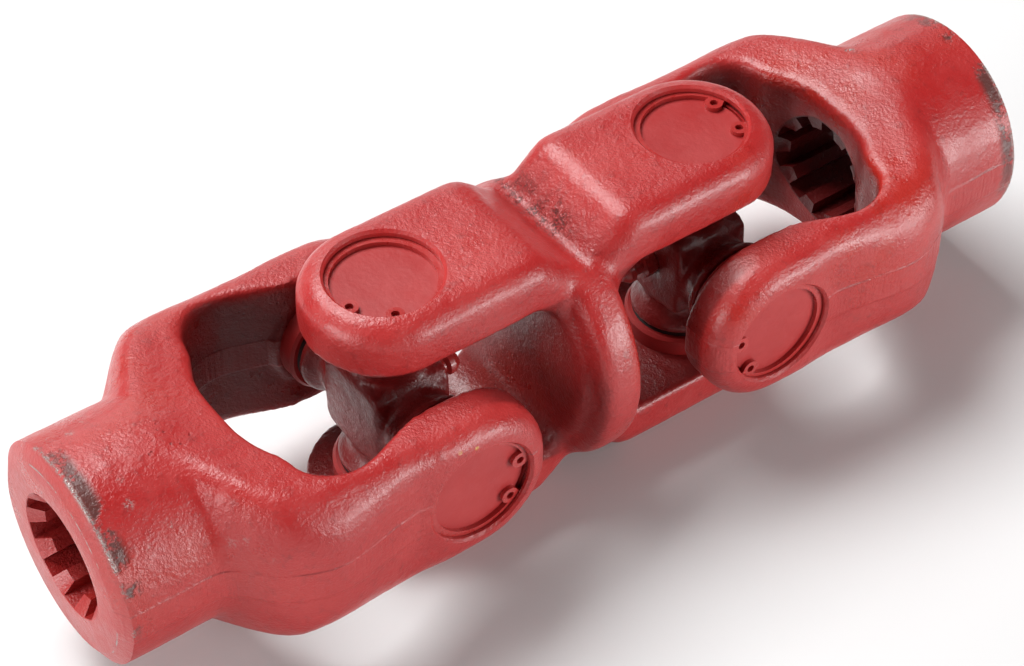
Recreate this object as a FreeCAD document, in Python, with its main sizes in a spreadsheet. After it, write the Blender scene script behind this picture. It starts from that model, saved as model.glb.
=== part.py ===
"""Double universal joint shaft for a splined drive: two forked end yokes, a double centre yoke and
two four-armed crosses that turn in needle bearing cups.

Row frame: +X runs along the shaft, +Z is up, and the origin is the middle of the centre yoke.
Each cross lies half the cross spacing from the origin. The centre yoke holds the vertical trunnions,
and the end yokes hold the horizontal ones.

Sub-parts around a cross are drawn with the cross's centre at their own origin. A bearing part is drawn
along +Z, outwards from the cross, and its Placement turns it onto its own trunnion.
"""
import FreeCAD, Part
import math
import os
import Sketcher

# Driving dimensions, in millimetres. Each becomes one named cell of the spreadsheet.
DIMENSIONS = {
    # overall
    "cross_spacing": 97.2,  # between the centres of the two crosses
    "hub_reach": 96.2,  # from a cross's centre to the end face of its splined hub
    # bearings
    "cup_diameter": 30.2,
    "cross_length": 79.4,  # over the end faces of two opposite cups
    "cup_mouth": 22.5,  # open end of a cup, from the cross's centre
    "cup_floor": 3.5,
    "cup_fit_gap": 0.01,
    "trunnion_diameter": 18.0,
    "needle_diameter": 2.5,
    "needle_play": 0.05,  # between a needle and either of its tracks
    "washer_thickness": 1.4,
    "washer_play": 0.05,
    "seal_depth": 3.0,
    "seal_seat_wall": 1.9,  # of the cup, outside the seal
    "seal_stand_out": 0.7,
    "seal_lip_play": 0.05,
    # circlips
    "clip_thickness": 1.3,
    "clip_groove_width": 1.5,
    "clip_groove_depth": 0.75,
    "clip_band": 2.6,
    "lug_radius": 2.4,
    "lug_hole_radius": 1.1,
    "lug_inset": 2.2,  # from the bore's wall to the middle of a lug
    "lug_angle": 27.0,
    # crosses
    "shoulder_radius": 13.6,
    "shoulder_face": 21.2,
    "shoulder_rim": 1.8,
    "neck_radius": 10.6,
    "neck_height": 15.5,
    "core_flat": 11.5,
    "core_side": 12.6,
    "core_waist": 10.4,
    "grease_drill_radius": 1.6,
    # grease nipples
    "nipple_thread_radius": 3.0,
    "nipple_thread_length": 5.5,
    "nipple_hex_radius": 4.05,
    "nipple_hex_height": 3.2,
    "nipple_neck_radius": 2.1,
    "nipple_neck_length": 2.6,
    "nipple_head_radius": 3.2,
    "nipple_head_length": 4.2,
    "nipple_bore_radius": 1.2,
    "nipple_lip_radius": 0.8,
    "valve_ball_radius": 1.1,
    "valve_wire_radius": 0.18,
    # ears, shared by all three yokes
    "ear_radius": 22.0,
    "ear_gap": 56.0,  # between the inner faces of two opposite ears
    "ear_fillet": 7.0,
    "bore_chamfer": 0.8,
    # end yokes
    "end_ear_lip": 3.1,  # from a cup's end face to the ear's outer face
    "window_half_width": 34.4,
    "window_depth": 49.5,  # throat of the fork, from the cross's centre
    "throat_side": 22.0,  # half width of the throat where its corner pockets begin
    "shoulder_half_width": 45.9,
    "fork_half_height": 24.6,
    "hub_radius": 30.4,
    "hub_chamfer_radial": 4.0,
    "hub_chamfer_axial": 2.3,
    "hub_shoulder": 67.5,  # where the fork grows out of the hub, from the cross's centre
    # spline
    "spline_minor_radius": 14.0,
    "spline_major_radius": 17.2,
    "spline_slot_width": 5.0,
    "spline_teeth": 10,
    # centre yoke
    "centre_ear_lip": 3.5,
    "valley_height": 31.5,  # bottom of the groove across the middle of the yoke, from the axis
    "valley_half_width": 13.5,
    "valley_rounding": 2.5,
    "valley_shoulder": 9.0,
    "web_thickness": 17.2,
    "web_corner": 12.0,
    "web_disc_radius": 38.6,
    "web_disc_thickness": 13.0,
    "rim_rounding": 3.5,
    "arm_flare": 8.0,
}

doc = FreeCAD.newDocument("DoubleUniversalJoint")
sheet = doc.addObject("Spreadsheet::Sheet", "Dimensions")


class Size:
    """A number that remembers the spreadsheet formula it comes from."""

    def __init__(self, value, formula):
        self.value = value
        self.formula = formula

    def __add__(self, other):
        other = as_size(other)
        return Size(self.value + other.value, f"({self.formula} + {other.formula})")

    def __sub__(self, other):
        other = as_size(other)
        return Size(self.value - other.value, f"({self.formula} - {other.formula})")

    def __mul__(self, other):
        other = as_size(other)
        return Size(self.value * other.value, f"({self.formula} * {other.formula})")

    def __truediv__(self, other):
        other = as_size(other)
        return Size(self.value / other.value, f"({self.formula} / {other.formula})")

    def __neg__(self):
        return Size(-self.value, f"(-1 * {self.formula})")


def as_size(number):
    """A plain number as a Size."""
    return number if isinstance(number, Size) else Size(float(number), repr(float(number)))


def whole(number):
    """A Size rounded down to a whole number."""
    return Size(math.floor(number.value), f"floor({number.formula})")


def size(name):
    """The Size of one driving dimension."""
    return Size(float(DIMENSIONS[name]), f"Dimensions.{name}")


def angle_part(function, angle, length):
    """length times the sine or cosine of an angle in degrees."""
    value = getattr(math, function)(math.radians(angle.value)) * length.value
    return Size(value, f"({function}({angle.formula} * 1 deg) * {length.formula})")


def write_dimensions():
    """Fills the spreadsheet: names in column A, numbers with aliases in column B."""
    for row, (name, value) in enumerate(DIMENSIONS.items(), start=1):
        sheet.set(f"A{row}", name)
        sheet.set(f"B{row}", str(value))
        sheet.setAlias(f"B{row}", name)
    doc.recompute()


# ---------------------------------------------------------------- sketch and feature helpers

def new_body(label, several_solids=False):
    body = doc.addObject("PartDesign::Body", label)
    body.Label = label
    body.AllowCompound = several_solids
    return body


def origin_feature(body, role):
    return next(f for f in body.Origin.OriginFeatures if f.Role == role)


def sketch_on(body, plane, lift=None):
    """A new sketch on one of the body's own planes, lifted along its normal."""
    sketch = body.newObject("Sketcher::SketchObject", f"{body.Label}_sketch")
    sketch.AttachmentSupport = (origin_feature(body, plane), [""])
    sketch.MapMode = "FlatFace"
    if lift is not None:
        sketch.AttachmentOffset = FreeCAD.Placement(
            FreeCAD.Vector(0, 0, lift.value), FreeCAD.Rotation())
        sketch.setExpression("AttachmentOffset.Base.z", lift.formula)
    return sketch


def dimension(sketch, kind, where, amount):
    """One dimensional constraint, bound to the spreadsheet."""
    amount = as_size(amount)
    if kind.startswith("Distance") and amount.value == 0.0:
        axis = -2 if kind == "DistanceX" else -1
        sketch.addConstraint(Sketcher.Constraint("PointOnObject", where[0], where[1], axis))
        return
    index = sketch.addConstraint(Sketcher.Constraint(kind, *where, amount.value))
    sketch.setExpression(f"Constraints[{index}]", amount.formula)


def rounding(before, corner, after, radius):
    """The arc that rounds a corner: its two ends and its centre."""
    towards_before = (before - corner).normalize()
    towards_after = (after - corner).normalize()
    half_angle = towards_before.getAngle(towards_after) / 2
    reach = radius / math.tan(half_angle)
    bisector = (towards_before + towards_after).normalize()
    centre = corner + bisector * (radius / math.sin(half_angle))
    return corner + towards_before * reach, corner + towards_after * reach, centre


def draw_outline(sketch, corners):
    """A closed polygon. Each corner is (x, y), or (x, y, radius) for a rounded corner.

    A rounded corner's arc is tangent to both of its sides, and its sharp corner stays as a point."""
    corners = [tuple(as_size(c) for c in corner) for corner in corners]
    points = [FreeCAD.Vector(corner[0].value, corner[1].value, 0) for corner in corners]
    count = len(corners)
    arcs = {}
    for index, corner in enumerate(corners):
        if len(corner) == 3:
            before, after = points[index - 1], points[(index + 1) % count]
            arcs[index] = rounding(before, points[index], after, corner[2].value)
    sides = []
    for index in range(count):
        following = (index + 1) % count
        start = arcs[index][1] if index in arcs else points[index]
        end = arcs[following][0] if following in arcs else points[following]
        sides.append(sketch.addGeometry(Part.LineSegment(start, end)))
    for index, corner in enumerate(corners):
        arriving, leaving = sides[index - 1], sides[index]
        if index not in arcs:
            sketch.addConstraint(Sketcher.Constraint("Coincident", arriving, 2, leaving, 1))
            dimension(sketch, "DistanceX", (leaving, 1), corner[0])
            dimension(sketch, "DistanceY", (leaving, 1), corner[1])
            continue
        start, end, centre = arcs[index]
        angles = [math.atan2(p.y - centre.y, p.x - centre.x) for p in (start, end)]
        left_turn = (angles[1] - angles[0]) % (2 * math.pi) < math.pi
        if not left_turn:
            angles.reverse()
        if angles[1] < angles[0]:
            angles[1] += 2 * math.pi
        circle = Part.Circle(centre, FreeCAD.Vector(0, 0, 1), corner[2].value)
        arc = sketch.addGeometry(Part.ArcOfCircle(circle, *angles))
        first, last = (1, 2) if left_turn else (2, 1)
        sketch.addConstraint(Sketcher.Constraint("Tangent", arriving, 2, arc, first))
        sketch.addConstraint(Sketcher.Constraint("Tangent", arc, last, leaving, 1))
        sharp = sketch.addGeometry(Part.Point(points[index]), True)
        sketch.addConstraint(Sketcher.Constraint("PointOnObject", sharp, 1, arriving))
        sketch.addConstraint(Sketcher.Constraint("PointOnObject", sharp, 1, leaving))
        dimension(sketch, "DistanceX", (sharp, 1), corner[0])
        dimension(sketch, "DistanceY", (sharp, 1), corner[1])
        dimension(sketch, "Radius", (arc,), corner[2])


def draw_circle(sketch, x, y, radius):
    x, y, radius = as_size(x), as_size(y), as_size(radius)
    centre = FreeCAD.Vector(x.value, y.value, 0)
    circle = Part.Circle(centre, FreeCAD.Vector(0, 0, 1), radius.value)
    edge = sketch.addGeometry(circle)
    dimension(sketch, "DistanceX", (edge, 3), x)
    dimension(sketch, "DistanceY", (edge, 3), y)
    dimension(sketch, "Radius", (edge,), radius)


def extrude(body, kind, sketch, length=None, both_ways=False, backwards=False):
    """A Pad or a Pocket. With no length, a Pocket goes through everything."""
    feature = body.newObject(f"PartDesign::{kind}", f"{body.Label}_{kind.lower()}")
    feature.Profile = sketch
    feature.Reversed = backwards
    if both_ways:
        feature.Midplane = True
    if length is None:
        feature.Type = "ThroughAll"
    else:
        length = as_size(length)
        feature.Length = length.value
        feature.setExpression("Length", length.formula)
    sketch.Visibility = False
    return feature


def turn(body, kind, sketch, axis="V_Axis"):
    """A full Revolution or Groove about one of the sketch's own axes."""
    feature = body.newObject(f"PartDesign::{kind}", f"{body.Label}_{kind.lower()}")
    feature.Profile = sketch
    feature.ReferenceAxis = (sketch, [axis])
    feature.Angle = 360
    return feature


def repeat_around(body, features, axis, count):
    """A full circle of copies of some features about one of the body's origin axes."""
    pattern = body.newObject("PartDesign::PolarPattern", f"{body.Label}_pattern")
    pattern.Originals = features
    pattern.Axis = (origin_feature(body, axis), [""])
    pattern.Angle = 360
    pattern.Occurrences = int(count.value)
    pattern.setExpression("Occurrences", count.formula)
    body.Tip = pattern
    return pattern


def round_edges(body, chosen, radius):
    """A Fillet on every edge of the tip that the test accepts."""
    doc.recompute()
    base = body.Tip
    names = [f"Edge{i}" for i, edge in enumerate(base.Shape.Edges, start=1) if chosen(edge)]
    if not names:
        raise RuntimeError(f"{body.Label}: no edge to round")
    fillet = body.newObject("PartDesign::Fillet", f"{body.Label}_fillet")
    fillet.Base = (base, names)
    fillet.Radius = radius.value
    fillet.setExpression("Radius", radius.formula)
    return fillet


def mirrored(corners, x_sign, y_sign):
    """An outline's corners walked backwards and mirrored, to close it with its own image."""
    return [(as_size(c[0]) * x_sign, as_size(c[1]) * y_sign, *c[2:]) for c in reversed(corners)]


# ---------------------------------------------------------------- derived sizes

cross_half = size("cross_length") / 2
cup_radius = size("cup_diameter") / 2
trunnion_radius = size("trunnion_diameter") / 2
needle_radius = size("needle_diameter") / 2
needle_pitch_radius = trunnion_radius + size("needle_play") + needle_radius
track_radius = needle_pitch_radius + needle_radius + size("needle_play")
cup_inner_floor = cross_half - size("cup_floor")
washer_foot = cup_inner_floor - size("washer_thickness") - size("washer_play")
trunnion_end = washer_foot - size("washer_play")
seal_floor = size("cup_mouth") + size("seal_depth")
groove_radius = cup_radius + size("clip_groove_depth")
end_ear_face = cross_half + size("end_ear_lip")
centre_ear_face = cross_half + size("centre_ear_lip")
seal_seat_radius = cup_radius - size("seal_seat_wall")
lug_circle = cup_radius - size("lug_inset")
needle_count = whole(needle_pitch_radius * (2 * math.pi) / size("needle_diameter"))
ear_inner = size("ear_gap") / 2
nipple_seat = size("core_flat")


# ---------------------------------------------------------------- bearing parts

def draw_cup(body):
    """A drawn steel cup: its track for the needles, its seal seat and its chamfered ends."""
    outer = cup_radius - size("cup_fit_gap")
    corner = 0.8
    sketch = sketch_on(body, "XZ_Plane")
    draw_outline(sketch, [
        (0, cup_inner_floor),
        (track_radius, cup_inner_floor),
        (track_radius, seal_floor),
        (seal_seat_radius, seal_floor),
        (seal_seat_radius, size("cup_mouth")),
        (outer - corner, size("cup_mouth")),
        (outer, size("cup_mouth") + corner),
        (outer, cross_half - corner),
        (outer - corner, cross_half),
        (0, cross_half),
    ])
    turn(body, "Revolution", sketch)


def draw_seal(body):
    """A rubber ring in the cup's mouth whose lip runs on the root of the trunnion."""
    lip = trunnion_radius + size("seal_lip_play")
    outer = seal_seat_radius
    foot = size("cup_mouth") - size("seal_stand_out")
    waist = (size("cup_mouth") + seal_floor) / 2
    lip_width = 0.9
    sketch = sketch_on(body, "XZ_Plane")
    draw_outline(sketch, [
        (lip, foot + lip_width),
        (lip, foot + lip_width * 2),
        (lip + lip_width, waist),
        (lip, seal_floor - lip_width),
        (lip + lip_width, seal_floor),
        (outer, seal_floor),
        (outer, foot + lip_width),
        (outer - lip_width, foot),
        (lip + lip_width, foot),
    ])
    turn(body, "Revolution", sketch)


def draw_washer(body):
    """A plastic thrust washer between the trunnion's end and the cup's floor, with an oil hole."""
    outer = track_radius - size("needle_play")
    oil_hole = 2.0
    sketch = sketch_on(body, "XZ_Plane")
    draw_outline(sketch, [
        (oil_hole, washer_foot),
        (outer, washer_foot),
        (outer, washer_foot + size("washer_thickness")),
        (oil_hole, washer_foot + size("washer_thickness")),
    ])
    turn(body, "Revolution", sketch)


def draw_needles(body):
    """A full complement of loose needles between the trunnion and the cup."""
    end_play = 0.25
    crown = 0.4
    foot = seal_floor + end_play
    top = washer_foot - end_play
    axis = needle_pitch_radius
    sketch = sketch_on(body, "XY_Plane", foot)
    draw_circle(sketch, axis, 0, needle_radius)
    pad = extrude(body, "Pad", sketch, top - foot)
    doc.recompute()
    chamfer = body.newObject("PartDesign::Chamfer", f"{body.Label}_crown")
    rims = [f"Edge{i}" for i, e in enumerate(pad.Shape.Edges, start=1) if isinstance(e.Curve, Part.Circle)]
    chamfer.Base = (pad, rims)
    chamfer.Size = crown
    pattern = repeat_around(body, [pad, chamfer], "Z_Axis", needle_count)
    pattern.Refine = False


def draw_circlip(body):
    """An internal circlip above the cup, open towards +X, with two lugs for the pliers."""
    foot = cross_half + size("cup_fit_gap")
    outer = groove_radius - 0.05
    narrowing = 0.5
    inner = outer - size("clip_band") + narrowing
    thickness = size("clip_thickness")
    lug_x = angle_part("cos", size("lug_angle"), lug_circle)
    lug_y = angle_part("sin", size("lug_angle"), lug_circle)
    ring = sketch_on(body, "XY_Plane", foot)
    draw_circle(ring, 0, 0, outer)
    draw_circle(ring, narrowing, 0, inner)
    extrude(body, "Pad", ring, thickness)
    gap = sketch_on(body, "XY_Plane", foot)
    draw_outline(gap, [
        (0, 0),
        (groove_radius * 1.3, lug_y * -1.2),
        (groove_radius * 1.3, lug_y * 1.2),
    ])
    extrude(body, "Pocket", gap, thickness * 2, backwards=True)
    for side in (1, -1):
        lug = sketch_on(body, "XY_Plane", foot)
        draw_circle(lug, lug_x, lug_y * side, size("lug_radius"))
        extrude(body, "Pad", lug, thickness)
    holes = sketch_on(body, "XY_Plane", foot)
    for side in (1, -1):
        draw_circle(holes, lug_x, lug_y * side, size("lug_hole_radius"))
    extrude(body, "Pocket", holes, thickness * 2, backwards=True)


# ---------------------------------------------------------------- cross and grease nipple

def draw_cross(body):
    """A forged cross: four trunnions with flanged shoulders on a squarish core, drilled for grease."""
    chamfer = 0.8
    rim_foot = size("shoulder_face") - size("shoulder_rim")
    half = [
        (0, trunnion_end),
        (trunnion_radius - chamfer, trunnion_end),
        (trunnion_radius, trunnion_end - chamfer),
        (trunnion_radius, size("shoulder_face")),
        (size("shoulder_radius"), size("shoulder_face")),
        (size("shoulder_radius"), rim_foot),
        (size("neck_radius"), size("neck_height")),
    ]
    lower = [(x, -as_size(y)) for x, y in reversed(half)]
    for plane in ("XZ_Plane", "XY_Plane"):
        sketch = sketch_on(body, plane)
        draw_outline(sketch, half + lower)
        turn(body, "Revolution", sketch)
    side, waist = size("core_side"), size("core_waist")
    core = sketch_on(body, "YZ_Plane")
    draw_outline(core, [
        (side, -waist), (side, waist), (waist, side), (-waist, side),
        (-side, waist), (-side, -waist), (-waist, -side), (waist, -side),
    ])
    extrude(body, "Pad", core, size("core_flat") * 2, both_ways=True)
    for plane in ("XY_Plane", "XZ_Plane"):
        drill = sketch_on(body, plane)
        draw_circle(drill, 0, 0, size("grease_drill_radius"))
        extrude(body, "Pocket", drill, both_ways=True)
    tapping = sketch_on(body, "YZ_Plane", size("core_flat") - size("nipple_thread_length") * 1.4)
    draw_circle(tapping, 0, 0, size("nipple_thread_radius") + size("cup_fit_gap"))
    extrude(body, "Pocket", tapping, backwards=True)
    feed = sketch_on(body, "YZ_Plane")
    draw_circle(feed, 0, 0, size("grease_drill_radius"))
    extrude(body, "Pocket", feed, backwards=True)


def nipple_levels():
    """Where the nipple's hexagon, neck and head begin and end, along the cross's X axis."""
    hex_top = nipple_seat + size("nipple_hex_height")
    neck_top = hex_top + size("nipple_neck_length")
    tip = neck_top + size("nipple_head_length")
    return hex_top, neck_top, tip


def draw_nipple(body):
    """A straight grease nipple: thread, hexagon, neck and a rounded head with a bore for the valve."""
    hex_top, neck_top, tip = nipple_levels()
    thread_foot = nipple_seat - size("nipple_thread_length")
    head_corner = 0.9
    lip_thickness = 0.6
    hexagon = sketch_on(body, "YZ_Plane", nipple_seat)
    sixth = [Size(60.0 * k, repr(60.0 * k)) for k in range(6)]
    radius = size("nipple_hex_radius")
    draw_outline(hexagon, [(angle_part("cos", a, radius), angle_part("sin", a, radius)) for a in sixth])
    extrude(body, "Pad", hexagon, size("nipple_hex_height"))
    stem = sketch_on(body, "XY_Plane")
    head = size("nipple_head_radius")
    draw_outline(stem, [
        (thread_foot, 0),
        (thread_foot, size("nipple_thread_radius") - 0.5),
        (thread_foot + 0.5, size("nipple_thread_radius")),
        (nipple_seat, size("nipple_thread_radius")),
        (hex_top, size("nipple_thread_radius")),
        (hex_top, size("nipple_neck_radius")),
        (neck_top, size("nipple_neck_radius")),
        (neck_top + head_corner, head),
        (tip - head_corner * 2, head),
        (tip, head * 0.6),
        (tip, 0),
    ])
    turn(body, "Revolution", stem, "H_Axis")
    bore = sketch_on(body, "XY_Plane")
    draw_outline(bore, [
        (thread_foot, 0),
        (thread_foot, size("nipple_bore_radius")),
        (tip - lip_thickness, size("nipple_bore_radius")),
        (tip, size("nipple_lip_radius")),
        (tip, 0),
    ])
    turn(body, "Groove", bore, "H_Axis")


def valve_ball_place():
    """The ball's centre, just under the nipple's lip."""
    tip = nipple_levels()[2]
    return tip - 0.6 - size("valve_ball_radius")


def draw_valve_ball(body):
    middle = valve_ball_place()
    ball = body.newObject("PartDesign::AdditiveSphere", f"{body.Label}_sphere")
    ball.Radius = DIMENSIONS["valve_ball_radius"]
    ball.setExpression("Radius", "Dimensions.valve_ball_radius")
    ball.Placement = FreeCAD.Placement(FreeCAD.Vector(middle.value, 0, 0), FreeCAD.Rotation())
    ball.setExpression("Placement.Base.x", middle.formula)


def draw_valve_spring(body):
    """A coil spring in the nipple's bore that holds the ball against its lip."""
    wire = size("valve_wire_radius")
    coil = size("nipple_bore_radius") - wire - size("needle_play")
    foot = nipple_seat - size("nipple_thread_length") + wire
    reach = valve_ball_place() - size("valve_ball_radius") * 0.75 - foot - wire
    turns = 9.0
    sketch = sketch_on(body, "XY_Plane")
    draw_circle(sketch, foot, coil, wire)
    helix = body.newObject("PartDesign::AdditiveHelix", f"{body.Label}_helix")
    helix.Profile = sketch
    helix.ReferenceAxis = (sketch, ["H_Axis"])
    helix.Mode = "height-turns-angle"
    helix.Turns = turns
    helix.Height = reach.value
    helix.setExpression("Height", reach.formula)


# ---------------------------------------------------------------- yokes

def bore_seats(body, plane_of_axis, face, axis_plane, offset=0):
    """Two facing bearing bores, each with a circlip groove and a chamfered mouth.

    plane_of_axis is the plane that the bores' circles are drawn on, and axis_plane is one that holds
    their axis, which is its sketch's own vertical line at the given offset."""
    offset = as_size(offset)
    bore = sketch_on(body, plane_of_axis)
    draw_circle(bore, offset, 0, cup_radius)
    extrude(body, "Pocket", bore, both_ways=True)
    groove_foot = cross_half - size("cup_fit_gap")
    groove_top = groove_foot + size("clip_groove_width")
    mouth = size("bore_chamfer")
    for sign in (1, -1):
        groove = sketch_on(body, axis_plane)
        draw_outline(groove, [
            (offset + cup_radius - 1, groove_foot * sign),
            (offset + groove_radius, groove_foot * sign),
            (offset + groove_radius, groove_top * sign),
            (offset + cup_radius - 1, groove_top * sign),
        ])
        mouth_cut = sketch_on(body, axis_plane)
        draw_outline(mouth_cut, [
            (offset + cup_radius - 1, (face - mouth - 1) * sign),
            (offset + cup_radius + mouth + 1, (face + 1) * sign),
            (offset + cup_radius - 1, (face + 1) * sign),
        ])
        for sketch in (groove, mouth_cut):
            spin_line(sketch, offset)
            turn(body, "Groove", sketch, "Axis0")


def spin_line(sketch, offset):
    """A construction line along the sketch's vertical direction, used as the axis of a Groove."""
    line = Part.LineSegment(
        FreeCAD.Vector(offset.value, -5, 0), FreeCAD.Vector(offset.value, 5, 0))
    edge = sketch.addGeometry(line, True)
    dimension(sketch, "DistanceX", (edge, 1), offset)
    dimension(sketch, "DistanceX", (edge, 2), offset)
    dimension(sketch, "DistanceY", (edge, 1), -5)
    dimension(sketch, "DistanceY", (edge, 2), 5)


def draw_end_yoke(body):
    """A forged fork with a splined hub, drawn with its hub towards -X and its ears on the Y axis."""
    ear = size("ear_radius")
    tip_rounding = ear - 0.5
    hub_foot = size("hub_shoulder")
    shoulder = size("shoulder_half_width")
    window = size("window_half_width")
    depth = size("window_depth")
    cut = size("hub_radius") * 1.6

    # Plan: the two arms and the throat between them.
    half_plan = [
        (-(hub_foot + 0.5), size("hub_radius") - 1.2),
        (-(hub_foot * 0.86), shoulder - 5.3, 14),
        (-(hub_foot * 0.66), shoulder + 0.6, 18),
        (-(ear * 0.87), end_ear_face - 1, 30),
        (-(ear * 0.41), end_ear_face, 40),
        (ear, end_ear_face),
        (ear, ear_inner),
        (-(ear * 0.45), ear_inner, 20),
        (-(depth * 0.58), window, 20),
        (-(depth * 0.873), window, 11),
        (-(depth * 0.889), size("throat_side"), 8),
        (-depth, size("throat_side") * 0.545, 22),
    ]
    plan = sketch_on(body, "XY_Plane")
    draw_outline(plan, half_plan + mirrored(half_plan, 1, -1))
    extrude(body, "Pad", plan, cut * 2, both_ways=True)

    # Side: the round ears and the arms that grow towards the hub.
    fork = size("fork_half_height")
    half_side = [
        (-(hub_foot + 0.5), size("hub_radius") - 0.9),
        (-depth, fork, 40),
        (-(depth * 0.6), ear * 1.07, 60),
        (ear, ear, tip_rounding),
    ]
    side = sketch_on(body, "XZ_Plane")
    draw_outline(side, half_side + mirrored(half_side, 1, -1))
    draw_outline(side, [(-cut * 2, -cut), (cut, -cut), (cut, cut), (-cut * 2, cut)])
    extrude(body, "Pocket", side, both_ways=True)

    # Softened outer rim of each arm.
    outer = end_ear_face.value - 2
    tip = DIMENSIONS["ear_radius"] - 0.1

    def outer_rim(edge):
        box = edge.BoundBox
        along_rim = box.XLength > 0.1 or box.XMin > tip
        return along_rim and box.YMin * box.YMax > 0 and min(abs(box.YMin), abs(box.YMax)) > outer
    round_edges(body, outer_rim, size("ear_fillet"))

    # Hub.
    hub = sketch_on(body, "XY_Plane")
    draw_outline(hub, [
        (-size("hub_reach"), 0),
        (-size("hub_reach"), size("hub_radius") - size("hub_chamfer_radial")),
        (-(size("hub_reach") - size("hub_chamfer_axial")), size("hub_radius")),
        (-size("hub_shoulder"), size("hub_radius")),
        (-(size("window_depth") + 5), size("hub_radius") * 0.84),
        (-(size("window_depth") + 2), 0),
    ])
    turn(body, "Revolution", hub, "H_Axis")

    bore_seats(body, "XZ_Plane", end_ear_face, "XY_Plane")

    # Splined bore: the minor bore, one slot, its copies, and the chamfered mouth.
    bore = sketch_on(body, "YZ_Plane")
    draw_circle(bore, 0, 0, size("spline_minor_radius"))
    extrude(body, "Pocket", bore)
    slot = sketch_on(body, "YZ_Plane")
    half_slot = size("spline_slot_width") / 2
    draw_outline(slot, [
        (size("spline_minor_radius") - 2, -half_slot),
        (size("spline_major_radius"), -half_slot),
        (size("spline_major_radius"), half_slot),
        (size("spline_minor_radius") - 2, half_slot),
    ])
    first_slot = extrude(body, "Pocket", slot)
    repeat_around(body, [first_slot], "X_Axis", size("spline_teeth"))
    depth = size("spline_major_radius") - size("spline_minor_radius") + 0.2
    mouth = sketch_on(body, "XY_Plane")
    draw_outline(mouth, [
        (-(size("hub_reach") + 1), 0),
        (-(size("hub_reach") + 1), size("spline_major_radius") + 1.2),
        (-(size("hub_reach") - depth), size("spline_minor_radius")),
        (-(size("hub_reach") - depth), 0),
    ])
    turn(body, "Groove", mouth, "H_Axis")


def draw_centre_yoke(body):
    """A forged double fork: two pairs of ears, back to back, on one round web."""
    ear = size("ear_radius")
    centre = size("cross_spacing") / 2
    tip = centre + ear
    corner = size("web_corner")
    wall = size("web_thickness") / 2
    valley = size("valley_height")

    # Side: the tops slope into a valley over the web, and each fork is open at its end.
    quarter = [
        (0, valley, size("valley_rounding")),
        (size("valley_half_width"), centre_ear_face, size("valley_shoulder")),
        (tip, centre_ear_face),
        (tip, ear_inner),
        (wall, ear_inner, corner),
        (wall, 0),
    ]
    right = quarter + mirrored(quarter[:-1], 1, -1)
    side = sketch_on(body, "XZ_Plane")
    draw_outline(side, right + mirrored(right[1:-1], -1, 1))
    extrude(body, "Pad", side, ear * 2, both_ways=True)

    # Plan: the ears are round about their bores.
    cut = ear * 2
    half_plan = [(-tip, ear, ear - 0.5), (tip, ear, ear - 0.5)]
    plan = sketch_on(body, "XY_Plane")
    draw_outline(plan, half_plan + mirrored(half_plan, 1, -1))
    draw_outline(plan, [(-tip - 5, -cut), (tip + 5, -cut), (tip + 5, cut), (-tip - 5, cut)])
    extrude(body, "Pocket", plan, both_ways=True)

    # Softened outer rim of each pair of arms.
    outer = DIMENSIONS["ear_gap"] / 2 + 1
    tip_edge = DIMENSIONS["cross_spacing"] / 2 + DIMENSIONS["ear_radius"] - 0.1

    def outer_rim(edge):
        box = edge.BoundBox
        along_rim = box.XLength > 0.1 or min(abs(box.XMin), abs(box.XMax)) > tip_edge
        return along_rim and box.ZMin * box.ZMax > 0 and min(abs(box.ZMin), abs(box.ZMax)) > outer
    round_edges(body, outer_rim, size("ear_fillet"))

    # The web's round rim, and the cones that carry it into the arms.
    rim = sketch_on(body, "XY_Plane")
    disc = size("web_disc_radius")
    half = size("web_disc_thickness") / 2
    half_rim = [
        (-wall, 0),
        (-wall, disc - size("arm_flare")),
        (-half, disc - size("rim_rounding") * 2),
        (-half, disc, size("rim_rounding")),
    ]
    draw_outline(rim, half_rim + mirrored(half_rim, -1, 1))
    turn(body, "Revolution", rim, "H_Axis")

    # The groove runs on across the rim, top and bottom.
    groove = sketch_on(body, "XZ_Plane")
    top_groove = [
        (0, valley, size("valley_rounding")),
        (size("valley_half_width"), centre_ear_face),
        (-size("valley_half_width"), centre_ear_face),
    ]
    draw_outline(groove, top_groove)
    draw_outline(groove, mirrored(top_groove, 1, -1))
    extrude(body, "Pocket", groove, both_ways=True)

    for sign in (1, -1):
        bore_seats(body, "XY_Plane", centre_ear_face, "XZ_Plane", centre * sign)


# ---------------------------------------------------------------- assembly

SIDES = {"left": 180.0, "right": 0.0}  # turn about +Z that points a cross's own +X away from the web
ARMS = {
    "top": FreeCAD.Rotation(FreeCAD.Vector(1, 0, 0), 0),
    "bottom": FreeCAD.Rotation(FreeCAD.Vector(1, 0, 0), 180),
    "front": FreeCAD.Rotation(FreeCAD.Vector(1, 0, 0), 90),
    "back": FreeCAD.Rotation(FreeCAD.Vector(1, 0, 0), -90),
}
# Direction of each circlip's opening, in degrees about its own trunnion, before the arm's turn.
CLIP_TURN = {
    ("left", "top"): -138.0, ("right", "top"): -4.0,
    ("left", "front"): -15.0, ("right", "front"): -160.0,
    ("left", "bottom"): 40.0, ("right", "bottom"): 165.0,
    ("left", "back"): 70.0, ("right", "back"): -50.0,
}
BEARING_PARTS = {
    "cup": draw_cup,
    "seal": draw_seal,
    "thrust_washer": draw_washer,
    "needles": draw_needles,
    "circlip": draw_circlip,
}
CROSS_PARTS = {
    "cross": draw_cross,
    "grease_nipple": draw_nipple,
    "valve_ball": draw_valve_ball,
    "valve_spring": draw_valve_spring,
}


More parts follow.
